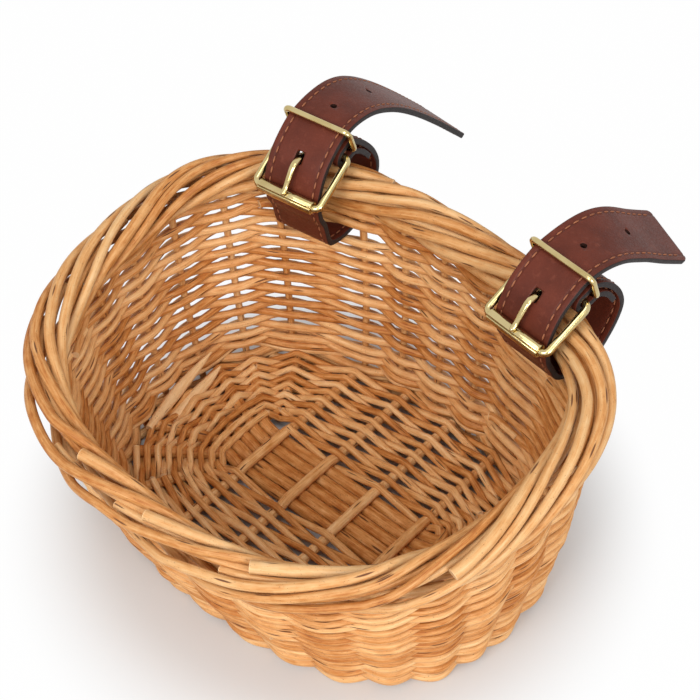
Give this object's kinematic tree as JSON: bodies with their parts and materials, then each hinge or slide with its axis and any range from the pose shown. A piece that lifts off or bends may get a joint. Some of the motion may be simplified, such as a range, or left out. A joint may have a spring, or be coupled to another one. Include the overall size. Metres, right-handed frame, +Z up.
{
  "type": "bicycle basket",
  "caption": "Small oval wicker bicycle basket with a flared front, a rolled willow border and two buckled leather straps at the back for hanging it on a handlebar.",
  "frame": {"origin": "middle of the base, on the plane the basket stands on, under the middle long stick", "axes": "+X along the back of the basket, +Y out of the back towards the handlebar, +Z up"},
  "size_m": [0.2144, 0.2563, 0.1331],
  "materials": {
    "willow_stake": "buff willow, satin",
    "willow_weaver": "buff willow, satin",
    "willow_base": "buff willow, darker and matt",
    "leather": "waxed red-brown leather with painted edges",
    "brass": "polished"
  },
  "bodies": {
    "basket": {"stake_01": "willow_stake", "stake_02": "willow_stake", "stake_03": "willow_stake", "stake_04": "willow_stake", "stake_05": "willow_stake", "stake_06": "willow_stake", "stake_07": "willow_stake", "stake_08": "willow_stake", "stake_09": "willow_stake", "stake_10": "willow_stake", "stake_11": "willow_stake", "stake_12": "willow_stake", "stake_13": "willow_stake", "stake_14": "willow_stake", "stake_15": "willow_stake", "stake_16": "willow_stake", "stake_17": "willow_stake", "stake_18": "willow_stake", "stake_19": "willow_stake", "stake_20": "willow_stake", "stake_21": "willow_stake", "stake_22": "willow_stake", "stake_23": "willow_stake", "stake_24": "willow_stake", "stake_25": "willow_stake", "stake_26": "willow_stake", "upsett_rod_1": "willow_weaver", "upsett_rod_2": "willow_weaver", "upsett_rod_3": "willow_weaver", "wall_weaver_a1": "willow_weaver", "wall_weaver_a2": "willow_weaver", "wall_weaver_a3": "willow_weaver", "wall_weaver_b1": "willow_weaver", "wall_weaver_b2": "willow_weaver", "wall_weaver_b3": "willow_weaver", "base_long_stick_1": "willow_base", "base_long_stick_2": "willow_base", "base_long_stick_3": "willow_base", "base_long_stick_4": "willow_base", "base_long_stick_5": "willow_base", "base_cross_stick_1": "willow_base", "base_cross_stick_2": "willow_base", "base_cross_stick_3": "willow_base", "base_cross_stick_4": "willow_base", "base_corner_stick_1": "willow_base", "base_corner_stick_2": "willow_base", "base_corner_stick_3": "willow_base", "base_corner_stick_4": "willow_base", "base_weaver_a": "willow_base", "base_weaver_b": "willow_base", "strap_left": "leather", "strap_right": "leather"},
    "left_buckle_frame": {"buckle_frame_left": "brass"},
    "left_buckle_roller": {"buckle_roller_left": "brass"},
    "left_buckle_prong": {"buckle_prong_left": "brass"},
    "left_keeper": {"strap_keeper_left": "brass"},
    "right_buckle_frame": {"buckle_frame_right": "brass"},
    "right_buckle_roller": {"buckle_roller_right": "brass"},
    "right_buckle_prong": {"buckle_prong_right": "brass"},
    "right_keeper": {"strap_keeper_right": "brass"}
  },
  "joints": [
    {"name": "left_buckle_lift", "type": "hinge", "parent": "basket", "child": "left_buckle_frame", "pos_m": [-0.0565, 0.05598, 0.12004], "axis": [-0.9925, -0.1219, 0], "range_deg": [0, 3]},
    {"name": "left_roller_spin", "type": "hinge", "parent": "left_buckle_frame", "child": "left_buckle_roller", "pos_m": [-0.05402, 0.03573, 0.10942], "axis": [0.9925, 0.1219, 0], "continuous": true},
    {"name": "left_prong_lift", "type": "hinge", "parent": "left_buckle_frame", "child": "left_buckle_prong", "pos_m": [-0.0565, 0.05598, 0.12004], "axis": [-0.9925, -0.1219, 0], "range_deg": [0, 5]},
    {"name": "left_keeper_swing", "type": "hinge", "parent": "basket", "child": "left_keeper", "pos_m": [-0.05703, 0.06024, 0.12132], "axis": [0.9925, 0.1219, 0], "range_deg": [-3, 3]},
    {"name": "right_buckle_lift", "type": "hinge", "parent": "basket", "child": "right_buckle_frame", "pos_m": [0.0565, 0.05598, 0.12004], "axis": [-0.9925, 0.1219, 0], "range_deg": [0, 3]},
    {"name": "right_roller_spin", "type": "hinge", "parent": "right_buckle_frame", "child": "right_buckle_roller", "pos_m": [0.05402, 0.03573, 0.10942], "axis": [0.9925, -0.1219, 0], "continuous": true},
    {"name": "right_prong_lift", "type": "hinge", "parent": "right_buckle_frame", "child": "right_buckle_prong", "pos_m": [0.0565, 0.05598, 0.12004], "axis": [-0.9925, 0.1219, 0], "range_deg": [0, 5]},
    {"name": "right_keeper_swing", "type": "hinge", "parent": "basket", "child": "right_keeper", "pos_m": [0.05703, 0.06024, 0.12132], "axis": [0.9925, -0.1219, 0], "range_deg": [-3, 3]}
  ]
}
